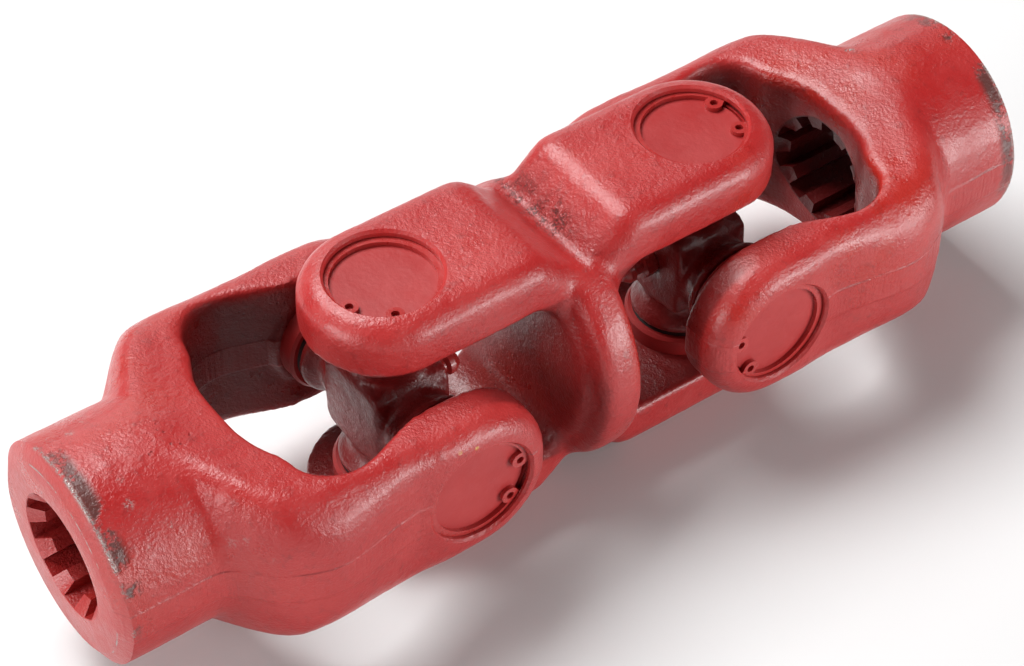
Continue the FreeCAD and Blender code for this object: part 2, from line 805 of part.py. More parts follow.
def place_at_cross(body, side, rotation):
    """Puts a body at the left or right cross with the given turn."""
    half = size("cross_spacing") / (2 if side == "right" else -2)
    body.Placement = FreeCAD.Placement(FreeCAD.Vector(half.value, 0, 0), rotation)
    body.setExpression("Placement.Base.x", half.formula)


def about_z(angle):
    return FreeCAD.Rotation(FreeCAD.Vector(0, 0, 1), angle)


def build():
    """Draws and places every sub-part, and returns their bodies."""
    bodies = []
    centre_yoke = new_body("centre_yoke")
    draw_centre_yoke(centre_yoke)
    bodies.append(centre_yoke)
    for side in SIDES:
        yoke = new_body(f"{side}_end_yoke")
        draw_end_yoke(yoke)
        place_at_cross(yoke, side, about_z(0 if side == "left" else 180))
        bodies.append(yoke)
        for name, draw in CROSS_PARTS.items():
            body = new_body(f"{side}_{name}")
            draw(body)
            place_at_cross(body, side, about_z(0 if side == "left" else 180))
            bodies.append(body)
        for arm, rotation in ARMS.items():
            for name, draw in BEARING_PARTS.items():
                body = new_body(f"{side}_{arm}_{name}", several_solids=name == "needles")
                draw(body)
                spin = CLIP_TURN[side, arm] if name == "circlip" else 0
                place_at_cross(body, side, rotation.multiply(about_z(spin)))
                bodies.append(body)
    return bodies


def export(bodies):
    """Checks every object and writes one STEP file for each sub-part."""
    doc.recompute()
    failed = [o.Label for o in doc.Objects if {"Invalid", "Error"} & set(o.State)]
    if failed:
        raise RuntimeError(f"failed objects: {failed}")
    for body in bodies:
        if body.Shape.isNull() or not body.Shape.isValid():
            raise RuntimeError(f"{body.Label} has no valid shape")
    os.makedirs("parts", exist_ok=True)
    for body in bodies:
        body.Shape.exportStep(f"parts/{body.Label}.step")
        print(body.Label, len(body.Shape.Solids), round(body.Shape.Volume / 1000, 3), "cm3")


write_dimensions()
export(build())
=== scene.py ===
"""Looks of the double universal joint shaft: forged, red-painted yokes and crosses round the CAD frame."""
import bpy
import bmesh
import math
import numpy as np
from mathutils import Matrix, Vector, noise


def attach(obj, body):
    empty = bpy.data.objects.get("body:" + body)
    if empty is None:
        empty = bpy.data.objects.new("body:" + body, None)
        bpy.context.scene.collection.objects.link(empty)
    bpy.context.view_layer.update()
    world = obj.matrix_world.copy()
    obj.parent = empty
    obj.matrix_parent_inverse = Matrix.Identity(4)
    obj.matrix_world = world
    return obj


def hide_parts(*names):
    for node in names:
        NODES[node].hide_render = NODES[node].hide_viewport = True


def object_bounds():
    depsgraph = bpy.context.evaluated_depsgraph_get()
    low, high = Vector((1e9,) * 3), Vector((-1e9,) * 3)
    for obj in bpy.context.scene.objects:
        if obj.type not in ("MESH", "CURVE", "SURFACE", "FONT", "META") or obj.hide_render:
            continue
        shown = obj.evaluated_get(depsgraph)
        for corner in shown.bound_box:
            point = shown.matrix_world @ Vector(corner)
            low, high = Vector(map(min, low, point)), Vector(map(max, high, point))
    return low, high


MM = 0.001

# The CAD frame's own sizes. Lengths along a fork or an ear are from its cross's centre.
HALF_SPACING = 48.6 * MM  # from the origin to either cross's centre
HUB_FACE = (48.6 + 96.2) * MM  # from the origin
HUB_RADIUS = 30.4 * MM
HUB_CHAMFER_RADIUS = 26.4 * MM
HUB_CHAMFER_DEPTH = 2.3 * MM
HUB_SHOULDER = 68.0 * MM  # from a cross's centre to where its fork grows out of the hub
THROAT = 49.5 * MM
CUP_BORE = 15.1 * MM
CUP_FACE = 39.7 * MM
CLIP_GROOVE_FOOT = CUP_FACE - 0.01 * MM
CLIP_GROOVE_TOP = CUP_FACE + 1.49 * MM
CLIP_GROOVE_DEPTH = 0.75 * MM
BORE_MOUTH = 0.8 * MM
EAR_INNER = 28.0 * MM
END_EAR_FACE = 42.8 * MM
CENTRE_EAR_FACE = 43.2 * MM
SPLINE_MINOR = 14.0 * MM
SPLINE_MAJOR = 17.2 * MM
SPLINE_SLOT = 5.0 * MM
SPLINE_TEETH = 10

# How the forged skins are made.
YOKE_VOXEL = 0.85 * MM
CROSS_VOXEL = 0.5 * MM
PULL = 0.6  # share of the way to its neighbours' mean that one smoothing round moves a point
FLARE_SLOPE = 1.15  # of the cone that limits a fork's shoulders
FLARE_START = 38 * MM
SLANT = (0.778, 0.628)  # direction, in Y and Z, in which a fork's long corners are eased
SLANT_LIMIT = 46.0 * MM
SLANT_WIDTH = 4.5 * MM
PLUG_RADIUS = 16.6 * MM  # fills an ear's bore while its skin is made
HUB_PLUG_RADIUS = 19 * MM
PAST = 6 * MM  # how far cutting tools run past the faces that they cut

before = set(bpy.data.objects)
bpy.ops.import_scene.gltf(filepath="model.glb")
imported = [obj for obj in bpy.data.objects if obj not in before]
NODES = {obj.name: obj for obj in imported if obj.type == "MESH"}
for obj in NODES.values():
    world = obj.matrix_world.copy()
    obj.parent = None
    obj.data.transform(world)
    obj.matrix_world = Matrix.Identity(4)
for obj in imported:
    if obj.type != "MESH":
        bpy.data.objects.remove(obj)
cad_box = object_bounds()


# ---------------------------------------------------------------- meshes

def new_object(name, mesh):
    obj = bpy.data.objects.new(name, mesh)
    bpy.context.scene.collection.objects.link(obj)
    return obj


def lathe(profile, origin, axis, steps=96):
    """A closed solid of revolution. The profile is (along the axis, radius) pairs that end on the axis."""
    axis = Vector(axis).normalized()
    across = axis.orthogonal().normalized()
    other = axis.cross(across)
    bm = bmesh.new()
    rings = []
    for along, radius in profile:
        if radius < 1e-7:
            rings.append([bm.verts.new(Vector(origin) + axis * along)])
            continue
        middle = Vector(origin) + axis * along
        turn = [2 * math.pi * k / steps for k in range(steps)]
        rings.append([
            bm.verts.new(middle + across * math.cos(a) * radius + other * math.sin(a) * radius)
            for a in turn])
    for low, high in zip(rings, rings[1:]):
        for k in range(steps):
            nxt = (k + 1) % steps
            if len(low) == 1:
                bm.faces.new((low[0], high[nxt], high[k]))
            elif len(high) == 1:
                bm.faces.new((low[k], low[nxt], high[0]))
            else:
                bm.faces.new((low[k], low[nxt], high[nxt], high[k]))
    bmesh.ops.recalc_face_normals(bm, faces=bm.faces)
    mesh = bpy.data.meshes.new("lathe")
    bm.to_mesh(mesh)
    bm.free()
    return mesh


def spline_prism(start, end):
    """The splined bore's solid: a minor circle with one straight-sided groove per tooth."""
    outline = []
    half = SPLINE_SLOT / 2
    edge_minor = math.asin(half / SPLINE_MINOR)
    edge_major = math.asin(half / SPLINE_MAJOR)
    for tooth in range(SPLINE_TEETH):
        middle = math.pi / 2 + 2 * math.pi * tooth / SPLINE_TEETH
        following = middle + 2 * math.pi / SPLINE_TEETH
        groove = [middle - edge_major + k * edge_major / 2 for k in range(5)]
        land = [middle + edge_minor + k * (following - middle - 2 * edge_minor) / 6 for k in range(7)]
        outline += [(SPLINE_MAJOR, a) for a in groove] + [(SPLINE_MINOR, a) for a in land]
    bm = bmesh.new()
    rings = [[bm.verts.new((x, r * math.cos(a), r * math.sin(a))) for r, a in outline] for x in (start, end)]
    count = len(outline)
    for k in range(count):
        nxt = (k + 1) % count
        bm.faces.new((rings[0][k], rings[0][nxt], rings[1][nxt], rings[1][k]))
    bm.faces.new(rings[0])
    bm.faces.new(rings[1])
    bmesh.ops.recalc_face_normals(bm, faces=bm.faces)
    mesh = bpy.data.meshes.new("spline")
    bm.to_mesh(mesh)
    bm.free()
    return mesh


def welded_copy(node):
    """A CAD node's mesh with its split corners joined."""
    bm = bmesh.new()
    bm.from_mesh(NODES[node].data)
    bmesh.ops.remove_doubles(bm, verts=bm.verts, dist=1e-7)
    mesh = bpy.data.meshes.new(node)
    bm.to_mesh(mesh)
    bm.free()
    return mesh


def joined(meshes):
    bm = bmesh.new()
    for mesh in meshes:
        bm.from_mesh(mesh)
    out = bpy.data.meshes.new("joined")
    bm.to_mesh(out)
    bm.free()
    return out


def apply_modifiers(obj):
    graph = bpy.context.evaluated_depsgraph_get()
    graph.update()
    mesh = bpy.data.meshes.new_from_object(obj.evaluated_get(graph))
    obj.modifiers.clear()
    obj.data = mesh


def remesh(obj, voxel):
    modifier = obj.modifiers.new("remesh", "REMESH")
    modifier.mode = "VOXEL"
    modifier.voxel_size = voxel
    apply_modifiers(obj)


def cut(obj, meshes):
    """Takes each closed mesh away from the object."""
    for mesh in meshes:
        tool = new_object("tool", mesh)
        modifier = obj.modifiers.new("cut", "BOOLEAN")
        modifier.operation = "DIFFERENCE"
        modifier.solver = "EXACT"
        modifier.object = tool
        apply_modifiers(obj)
        bpy.data.objects.remove(tool)


def coordinates(mesh):
    out = np.empty(len(mesh.vertices) * 3, np.float32)
    mesh.vertices.foreach_get("co", out)
    return out.reshape(-1, 3).astype(float)


def store(mesh, points):
    mesh.vertices.foreach_set("co", points.astype(np.float32).ravel())
    mesh.update()


def soften(mesh, rounds, weight=None):
    """Smooths by moving each point towards the mean of its neighbours, by its own weight."""
    points = coordinates(mesh)
    edges = np.empty(len(mesh.edges) * 2, np.int64)
    mesh.edges.foreach_get("vertices", edges)
    a, b = edges.reshape(-1, 2).T
    count = np.bincount(np.concatenate([a, b]), minlength=len(points))[:, None]
    share = PULL if weight is None else PULL * weight[:, None]
    size = len(points)
    for _ in range(rounds):
        total = np.zeros_like(points)
        for axis in range(3):
            total[:, axis] = np.bincount(a, points[b, axis], size) + np.bincount(b, points[a, axis], size)
        points += share * (total / count - points)
    store(mesh, points)


def hammered(mesh, seed, coarse=0.09, fine=0.06, weight=None, extra=None):
    """Moves each point along its normal by soft noise, as on a forged surface. Amplitudes in millimetres."""
    points = coordinates(mesh)
    normals = np.empty(len(points) * 3, np.float32)
    mesh.vertices.foreach_get("normal", normals)
    normals = normals.reshape(-1, 3)
    shift = Vector((seed * 3.1, seed * 1.7, seed * 5.3))
    height = np.array([
        coarse * noise.noise(Vector(p) * 95 + shift) + coarse * 0.7 * noise.noise(Vector(p) * 210 + shift)
        + fine * noise.noise(Vector(p) * 560 + shift)
        for p in points]) * MM
    if extra is not None:
        height += extra(points)
    if weight is not None:
        height *= weight
    store(mesh, points + normals * height[:, None])


def round_shoulders(mesh, away):
    """Rounds a fork's square shoulders.

    A cone that opens from the hub limits them, and their long corners are eased along a slant."""
    points = coordinates(mesh)
    radius = np.hypot(points[:, 1], points[:, 2])
    cone = HUB_RADIUS + FLARE_SLOPE * np.maximum(HUB_SHOULDER - away, 0)
    shrink = np.where(away > FLARE_START, np.minimum(1, cone / np.maximum(radius, 1e-6)), 1)
    points[:, 1:] *= shrink[:, None]
    slant = np.array(SLANT)
    signs = np.sign(points[:, 1:])
    over = np.maximum(np.abs(points[:, 1:]) @ slant - (SLANT_LIMIT - SLANT_WIDTH), 0)
    back = over - SLANT_WIDTH * (1 - np.exp(-over / SLANT_WIDTH))
    back *= smoothstep(14 * MM, 34 * MM, away) * smoothstep(66 * MM, 56 * MM, away)
    points[:, 1:] -= signs * slant * back[:, None]
    store(mesh, points)


def crease(mesh, degrees=32):
    """Smooth shading, with sharp edges where two faces meet at more than the angle."""
    mesh.shade_smooth()
    bm = bmesh.new()
    bm.from_mesh(mesh)
    limit = math.radians(degrees)
    for edge in bm.edges:
        if len(edge.link_faces) == 2 and edge.calc_face_angle(0) > limit:
            edge.smooth = False
    bm.to_mesh(mesh)
    bm.free()


def smoothstep(low, high, value):
    t = np.clip((value - low) / (high - low), 0, 1)
    return t * t * (3 - 2 * t)


# ---------------------------------------------------------------- materials

class Nodes:
    """A short way to write a node tree."""

    def __init__(self, name):
        self.material = bpy.data.materials.new(name)
        self.material.use_nodes = True
        self.tree = self.material.node_tree
        self.tree.nodes.clear()
        self.output = self.tree.nodes.new("ShaderNodeOutputMaterial")
        self.shader = self.tree.nodes.new("ShaderNodeBsdfPrincipled")
        self.link(self.shader.outputs[0], self.output.inputs["Surface"])
        self.place = self.tree.nodes.new("ShaderNodeTexCoord").outputs["Object"]

    def link(self, source, target):
        self.tree.links.new(source, target)

    def put(self, value, target):
        if isinstance(value, bpy.types.NodeSocket):
            self.link(value, target)
        elif isinstance(value, tuple) and len(value) == 3 and target.type == "RGBA":
            target.default_value = (*value, 1)
        else:
            target.default_value = value

    def noise(self, scale, detail=2.0, roughness=0.5, place=None):
        node = self.tree.nodes.new("ShaderNodeTexNoise")
        self.put(place or self.place, node.inputs["Vector"])
        node.inputs["Scale"].default_value = scale
        node.inputs["Detail"].default_value = detail
        node.inputs["Roughness"].default_value = roughness
        return node.outputs["Fac"]

    def voronoi(self, scale):
        node = self.tree.nodes.new("ShaderNodeTexVoronoi")
        self.put(self.place, node.inputs["Vector"])
        node.inputs["Scale"].default_value = scale
        return node.outputs["Distance"]

    def math(self, kind, a, b=0.0):
        node = self.tree.nodes.new("ShaderNodeMath")
        node.operation = kind
        self.put(a, node.inputs[0])
        self.put(b, node.inputs[1])
        return node.outputs[0]

    def times(self, product, *factors):
        for factor in factors:
            product = self.math("MULTIPLY", product, factor)
        return product

    def plus(self, a, b):
        return self.math("ADD", a, b)

    def minus(self, a, b):
        return self.math("SUBTRACT", a, b)

    def size(self, a):
        return self.math("ABSOLUTE", a)

    def length(self, a, b):
        """The length of the slant whose two legs are a and b."""
        return self.math("SQRT", self.plus(self.times(a, a), self.times(b, b)))

    def stretched(self, factors):
        """The shading point's place, multiplied along each axis."""
        node = self.tree.nodes.new("ShaderNodeVectorMath")
        node.operation = "MULTIPLY"
        self.put(self.place, node.inputs[0])
        self.put(factors, node.inputs[1])
        return node.outputs[0]

    def split_place(self):
        node = self.tree.nodes.new("ShaderNodeSeparateXYZ")
        self.put(self.place, node.inputs[0])
        return node.outputs[0], node.outputs[1], node.outputs[2]

    def step(self, value, low, high, out_low=0.0, out_high=1.0):
        """A smooth ramp from low to high. It falls where low is the larger."""
        node = self.tree.nodes.new("ShaderNodeMapRange")
        node.interpolation_type = "SMOOTHSTEP"
        for number, socket in zip((value, low, high, out_low, out_high), node.inputs):
            self.put(number, socket)
        return node.outputs[0]

    def mix(self, amount, a, b):
        node = self.tree.nodes.new("ShaderNodeMix")
        node.data_type = "RGBA"
        sockets = [s for s in node.inputs if s.enabled]
        self.put(amount, sockets[0])
        self.put(a, sockets[1])
        self.put(b, sockets[2])
        return next(s for s in node.outputs if s.enabled)

    def bump(self, height, depth):
        node = self.tree.nodes.new("ShaderNodeBump")
        node.inputs["Distance"].default_value = depth
        node.inputs["Strength"].default_value = 1.0
        self.put(height, node.inputs["Height"])
        return node.outputs[0]

    def pointiness(self):
        return self.tree.nodes.new("ShaderNodeNewGeometry").outputs["Pointiness"]

    def finish(self, color, roughness, normal=None, metallic=0.0, coat=0.0, coat_roughness=0.03):
        self.put(color, self.shader.inputs["Base Color"])
        self.put(roughness, self.shader.inputs["Roughness"])
        self.put(metallic, self.shader.inputs["Metallic"])
        if normal is not None:
            self.put(normal, self.shader.inputs["Normal"])
        self.shader.inputs["Coat Weight"].default_value = coat
        self.shader.inputs["Coat Roughness"].default_value = coat_roughness
        return self.material


PAINT = (0.370, 0.016, 0.016)
PAINT_LIGHT = (0.430, 0.032, 0.030)
# Dark red: the paint's darker mottle and pits, and also painted shade in hollows.
DARK_PAINT_AND_SHADE = (0.090, 0.005, 0.006)
PAINT_ORANGE = (0.400, 0.016, 0.006)
PAINT_GLOSSY = (0.34, 0.022, 0.020)
PAINT_SMOOTH = (0.360, 0.018, 0.018)
PAINT_SMOOTH_LIGHT = (0.410, 0.030, 0.029)
# Painted shade: a near-black red for the inner walls and deep bores, where shade falls.
PAINTED_SHADE = (0.085, 0.006, 0.006)
DUST = (0.70, 0.44, 0.40)
BARE = (0.42, 0.38, 0.36)
RUST = (0.055, 0.030, 0.026)
YELLOW = (0.55, 0.33, 0.06)


def painted_steel(n, color, forged):
    """Paint over a forging's skin: cloudy colour, painted shade in hollows, orange thick spots, pits and
    dust.

    Gives colour, roughness and height. Forged says how strongly the forging shows through."""
    cloud = n.noise(30, 5, 0.62)
    color = n.mix(n.step(cloud, 0.34, 0.70), color, PAINT_LIGHT)
    thick = n.times(n.step(n.noise(17, 3, 0.55), 0.52, 0.70), n.step(n.noise(70, 3, 0.6), 0.40, 0.62))
    color = n.mix(n.times(thick, 0.55 * forged), color, PAINT_ORANGE)
    mottle = n.step(n.noise(330, 4, 0.65), 0.54, 0.74)
    color = n.mix(n.times(mottle, 0.30 * forged), color, DARK_PAINT_AND_SHADE)
    # Painted shade: darker paint in hollows, where shade falls.
    hollow = n.step(n.pointiness(), 0.490, 0.435)
    color = n.mix(n.times(hollow, 0.70 * forged), color, DARK_PAINT_AND_SHADE)
    edge = n.step(n.pointiness(), 0.520, 0.575)
    color = n.mix(n.times(edge, 0.40), color, PAINT_LIGHT)
    pit = n.times(n.step(n.voronoi(520), 0.26, 0.06), n.step(n.noise(48, 3, 0.6), 0.58, 0.72))
    color = n.mix(n.times(pit, 0.40 * forged), color, DARK_PAINT_AND_SHADE)
    speck = n.times(n.step(n.voronoi(300), 0.070, 0.030), n.step(n.noise(27, 3), 0.50, 0.66))
    color = n.mix(n.times(speck, 0.55), color, DUST)
    rough = n.step(n.noise(120, 4, 0.6), 0.30, 0.72, 0.28, 0.46)
    rough = n.minus(rough, n.times(thick, 0.10))
    height = n.times(n.noise(330, 4, 0.62), 0.60)
    height = n.plus(height, n.times(n.noise(1150, 3, 0.6), 0.42))
    height = n.minus(height, n.times(pit, 0.55))
    return color, rough, height


def around_shaft(n):
    """The shading point's distance along the shaft from the origin and out from its axis."""
    x, y, z = n.split_place()
    return n.size(x), n.length(y, z)


def ring(n, at_along, at_radius, inner, outer):
    """1 on a circle about the shaft, fading from inner to outer distance."""
    along, radius = around_shaft(n)
    off = n.length(n.minus(along, at_along), n.minus(radius, at_radius))
    return n.step(off, outer, inner)


def hub_wear(n):
    """Bare metal and rust on the hubs' chamfer edges: how bare, and how rusty."""
    x, y, z = n.split_place()
    chamfer_foot = HUB_FACE - HUB_CHAMFER_DEPTH
    ragged = n.plus(n.noise(75, 4, 0.65), n.times(n.noise(900, 3, 0.6), 0.30))
    upper = n.step(n.minus(z, n.times(y, 0.8)), -4 * MM, 36 * MM)
    level = n.minus(ragged, n.minus(0.76, n.times(upper, 0.16)))
    edge = ring(n, chamfer_foot, HUB_RADIUS, 0.1 * MM, 1.0 * MM)
    grit = n.step(n.noise(2600, 3, 0.6), 0.38, 0.58)
    bare = n.times(edge, n.step(level, 0.0, 0.07), grit)
    inner_edge = ring(n, HUB_FACE, HUB_CHAMFER_RADIUS, 0.05 * MM, 0.35 * MM)
    bare = n.plus(bare, n.times(inner_edge, n.step(ragged, 0.62, 0.76)))
    behind = ring(n, chamfer_foot - 2.2 * MM, HUB_RADIUS, 0.8 * MM, 3.6 * MM)
    rust = n.times(behind, upper, n.step(level, -0.01, 0.10))
    return n.math("MINIMUM", bare, 1.0), rust


def in_bore(n):
    """1 deep in a hub's splined bore, where the paint is darkened as painted shade."""
    along, radius = around_shaft(n)
    within = n.step(radius, SPLINE_MAJOR + 0.8 * MM, SPLINE_MAJOR + 0.1 * MM)
    inside = n.step(along, HUB_FACE - 5 * MM, HUB_FACE - 24 * MM)
    return n.times(within, inside, n.step(along, 80 * MM, 84 * MM))


def inside_fork(n):
    """1 on the inner walls of an end yoke's two arms."""
    x, y, z = n.split_place()
    walls = n.times(n.step(n.size(y), 36.0 * MM, 34.0 * MM), n.step(n.size(z), 23.5 * MM, 19.0 * MM))
    throat = HALF_SPACING + THROAT
    return n.times(walls, n.step(n.size(x), throat + 0.4 * MM, throat - 2.1 * MM))


def inside_centre(n):
    """1 on the centre yoke's web and the inner walls of its arms."""
    x, y, z = n.split_place()
    walls = n.times(n.step(n.size(z), 29.5 * MM, 27.8 * MM), n.step(n.size(x), 7.0 * MM, 10.5 * MM))
    return n.times(walls, n.step(n.size(y), 30.0 * MM, 22.0 * MM))


def inside_cross(n):
    """1 on a cross's core, between the yokes."""
    x, y, z = n.split_place()
    return n.step(n.math("MAXIMUM", n.size(y), n.size(z)), 27.0 * MM, 18.0 * MM)


def painted_shade_inside(n, color, inside):
    """Painted shade: darkens the paint where a forging faces inwards, standing in for the shade in its
    cavities.
    """
    return n.mix(n.times(inside, 0.62), color, PAINTED_SHADE)


def finish_forging(n, color, rough, height, metallic=0.0):
    return n.finish(color, rough, n.bump(height, 0.00058), metallic, 0.14, 0.16)


def flash_line(n, color, height):
    """Sheared flash along the parting plane: a band of fine upright lines between two broken edges.

    The upper edge is darker than the paint and the lower one lighter."""
    x, y, z = n.split_place()
    level = n.plus(n.size(z), n.times(n.noise(45, 2), 1.2 * MM))
    side = n.step(n.size(y), 24 * MM, 29 * MM)
    band = n.times(n.step(level, 5.7 * MM, 5.1 * MM), side)
    line = n.times(n.step(level, 5.9 * MM, 5.5 * MM), n.step(level, 4.9 * MM, 5.3 * MM), side)
    lines = n.noise(900, 2, 0.5, n.stretched((1.0, 1.0, 0.05)))
    height = n.plus(height, n.times(lines, band, 0.5))
    color = n.mix(n.times(band, 0.25), color, PAINT_LIGHT)
    broken = n.times(line, n.step(n.noise(110, 3), 0.42, 0.6))
    upper = n.step(z, 0.0, 2 * MM)
    color = n.mix(n.times(broken, upper, 0.45), color, DARK_PAINT_AND_SHADE)
    color = n.mix(n.times(broken, n.minus(1.0, upper), 0.5), color, PAINT_LIGHT)
    return color, height


def yellow_spots(n, color):
    """A few yellow spots along the upper edge of the left front ear."""
    x, y, z = n.split_place()
    spot = n.times(n.step(n.voronoi(260), 0.24, 0.16), n.step(n.noise(90, 2), 0.46, 0.56))
    middle = n.size(n.plus(x, 47 * MM))
    level = n.size(n.minus(z, 19 * MM))
    strip = n.times(n.step(middle, 10 * MM, 7 * MM), n.step(level, 2.4 * MM, 1.2 * MM))
    strip = n.times(strip, n.step(y, -35 * MM, -38 * MM))
    return n.mix(n.times(spot, strip, 0.9), color, YELLOW)


def fork_paint():
    """Satin red paint over an end yoke: worn hub edges, chips, a flash line and a few yellow spots."""
    n = Nodes("fork_paint")
    color, rough, height = painted_steel(n, PAINT, 1.0)
    # Painted shade on the fork's inner walls and deep in its bore.
    color = painted_shade_inside(n, color, inside_fork(n))
    color = n.mix(n.times(in_bore(n), 0.85), color, PAINTED_SHADE)
    color, height = flash_line(n, color, height)
    bare, rust = hub_wear(n)
    flake = n.times(n.step(n.voronoi(88), 0.20, 0.06), n.step(n.noise(19, 3), 0.60, 0.68))
    flake = n.times(flake, n.step(n.noise(1300, 3, 0.6), 0.48, 0.62))
    bare = n.math("MINIMUM", n.plus(bare, n.times(flake, 0.75)), 1.0)
    color = n.mix(n.times(rust, 0.85), color, RUST)
    color = n.mix(bare, color, BARE)
    height = n.minus(height, n.times(n.math("MAXIMUM", bare, rust), 0.35))
    color = yellow_spots(n, color)
    return finish_forging(n, color, rough, height, n.times(bare, 0.7))


def centre_paint():
    """Satin red paint over the centre yoke, with scale and dirt on one flank of its groove."""
    n = Nodes("centre_paint")
    color, rough, height = painted_steel(n, PAINT, 1.0)
    # Painted shade on the web and the inner walls of the arms.
    color = painted_shade_inside(n, color, inside_centre(n))
    x, y, z = n.split_place()
    ragged = n.plus(x, n.times(n.minus(n.noise(130, 3), 0.5), 10 * MM))
    flank = n.times(n.step(ragged, -2 * MM, 1 * MM), n.step(ragged, 9 * MM, 3 * MM))
    on_top = n.times(n.step(z, 27 * MM, 31 * MM), n.step(y, -14 * MM, -2 * MM))
    speckle = n.step(n.noise(1500, 4, 0.7), 0.47, 0.60)
    patchy = n.step(n.noise(170, 3, 0.6), 0.38, 0.62)
    grime = n.times(flank, on_top, n.times(speckle, patchy))
    color = n.mix(n.times(grime, 0.85), color, RUST)
    height = n.minus(height, n.times(grime, 0.4))
    rough = n.plus(rough, n.times(grime, 0.2))
    return finish_forging(n, color, rough, height)


def cross_paint():
    n = Nodes("cross_paint")
    color, rough, height = painted_steel(n, PAINT, 1.0)
    # Painted shade on the cross's core, between the yokes.
    return finish_forging(n, painted_shade_inside(n, color, inside_cross(n)), rough, height)


def machined_paint(name, hub):
    """Thin red paint over turned faces: smoother, with faint clouds and specks. A hub's is worn too."""
    n = Nodes(name)
    color = n.mix(n.step(n.noise(45, 4, 0.6), 0.34, 0.70), PAINT_SMOOTH, PAINT_SMOOTH_LIGHT)
    speck = n.times(n.step(n.voronoi(420), 0.060, 0.030), n.step(n.noise(35, 3), 0.50, 0.66))
    color = n.mix(n.times(speck, 0.5), color, DUST)
    # Painted shade: darker paint in hollows, where shade falls.
    hollow = n.step(n.pointiness(), 0.480, 0.42)
    color = n.mix(n.times(hollow, 0.6), color, DARK_PAINT_AND_SHADE)
    rough = n.step(n.noise(160, 3), 0.3, 0.7, 0.40, 0.54)
    metallic = 0.0
    if hub:
        bare, rust = hub_wear(n)
        # Painted shade deep in the splined bore.
        color = n.mix(n.times(in_bore(n), 0.85), color, PAINTED_SHADE)
        color = n.mix(n.times(rust, 0.6), color, RUST)
        color = n.mix(bare, color, BARE)
        metallic = n.times(bare, 0.7)
    height = n.plus(n.times(n.noise(900, 3, 0.6), 0.4), n.times(n.noise(260, 2), 0.6))
    return n.finish(color, rough, n.bump(height, 0.00016), metallic, 0.08, 0.2)


def small_paint():
    """The same paint on small fittings, where it lies thick and glossy."""
    n = Nodes("small_paint")
    color, rough, height = painted_steel(n, PAINT_GLOSSY, 0.35)
    return n.finish(color, n.minus(rough, 0.08), n.bump(height, 0.0002), 0.0, 0.2, 0.15)


def steel(name, color, rough):
    n = Nodes(name)
    grain = n.noise(900, 3)
    tint = n.mix(n.step(grain, 0.3, 0.7), color, tuple(c * 0.8 for c in color))
    rough = n.step(n.noise(300, 2), 0.3, 0.7, rough, rough + 0.12)
    return n.finish(tint, rough, n.bump(grain, 0.00003), 1.0)


def rubber():
    n = Nodes("seal_rubber")
    tint = n.mix(n.step(n.noise(120, 3), 0.4, 0.7), (0.016, 0.014, 0.014), (0.05, 0.02, 0.02))
    return n.finish(tint, 0.55, n.bump(n.noise(1500, 2), 0.00005))


def nylon():
    n = Nodes("washer_nylon")
    tint = n.mix(n.step(n.noise(200, 2), 0.4, 0.6), (0.74, 0.70, 0.60), (0.62, 0.57, 0.46))
    return n.finish(tint, 0.45, n.bump(n.noise(900, 2), 0.00004))


FORK_PAINT = fork_paint()
CENTRE_PAINT = centre_paint()
CROSS_PAINT = cross_paint()
MACHINED = machined_paint("machined_paint", True)
CUP_PAINT = machined_paint("cup_paint", False)
SMALL_PAINT = small_paint()
BEARING = steel("bearing_steel", (0.62, 0.61, 0.6), 0.22)
SPRING = steel("spring_steel", (0.45, 0.45, 0.46), 0.3)
RUBBER = rubber()
NYLON = nylon()


def wear(obj, *materials):
    obj.data.materials.clear()
    for material in materials:
        obj.data.materials.append(material)


# ---------------------------------------------------------------- forged yokes

def bore_tool(origin, axis, face):
    """The machined bore of one ear: its wall, circlip groove and chamfered mouth."""
    start = EAR_INNER - PAST
    end = face + 4 * MM
    groove = CUP_BORE + CLIP_GROOVE_DEPTH
    profile = [
        (start, 0),
        (start, CUP_BORE),
        (CLIP_GROOVE_FOOT, CUP_BORE),
        (CLIP_GROOVE_FOOT, groove),
        (CLIP_GROOVE_TOP, groove),
        (CLIP_GROOVE_TOP, CUP_BORE),
        (face - BORE_MOUTH, CUP_BORE),
        (end, CUP_BORE + BORE_MOUTH + 4 * MM),
        (end, 0),
    ]
    return lathe(profile, origin, axis)


def bore_plug(origin, axis, face):
    """Fills one ear's bore."""
    return lathe([(EAR_INNER, 0), (EAR_INNER, PLUG_RADIUS), (face, PLUG_RADIUS), (face, 0)], origin, axis)


def hub_plug(origin, outward):
    """Fills a hub's splined bore and chamfers, and carries the hub past its face."""
    depth = HUB_FACE - HALF_SPACING
    return lathe([
        (THROAT + 1 * MM, 0),
        (THROAT + 1 * MM, HUB_PLUG_RADIUS),
        (depth - 4 * MM, HUB_PLUG_RADIUS),
        (depth - 4 * MM, HUB_RADIUS),
        (depth + 5 * MM, HUB_RADIUS),
        (depth + 5 * MM, 0),
    ], origin, outward)


def spline_mouth_tool(origin, outward):
    """The cone that chamfers the mouth of a splined bore."""
    depth = HUB_FACE - HALF_SPACING
    slope = (SPLINE_MAJOR - SPLINE_MINOR) + 0.2 * MM
    return lathe([
        (depth - slope - SPLINE_MINOR, 0),
        (depth + PAST, SPLINE_MINOR + slope + PAST),
        (depth + PAST, 0),
    ], origin, outward)


def hub_face_tool(origin, outward):
    """What turning takes off a hub's end: everything past its face and its outer chamfer."""
    depth = HUB_FACE - HALF_SPACING
    reach = 12 * MM
    rise = (HUB_RADIUS - HUB_CHAMFER_RADIUS) / HUB_CHAMFER_DEPTH
    over = 1.2 * MM
    return lathe([
        (depth, 0),
        (depth, HUB_CHAMFER_RADIUS),
        (depth - HUB_CHAMFER_DEPTH - over, HUB_RADIUS + over * rise),
        (depth + reach, HUB_RADIUS + over * rise),
        (depth + reach, 0),
    ], origin, outward)


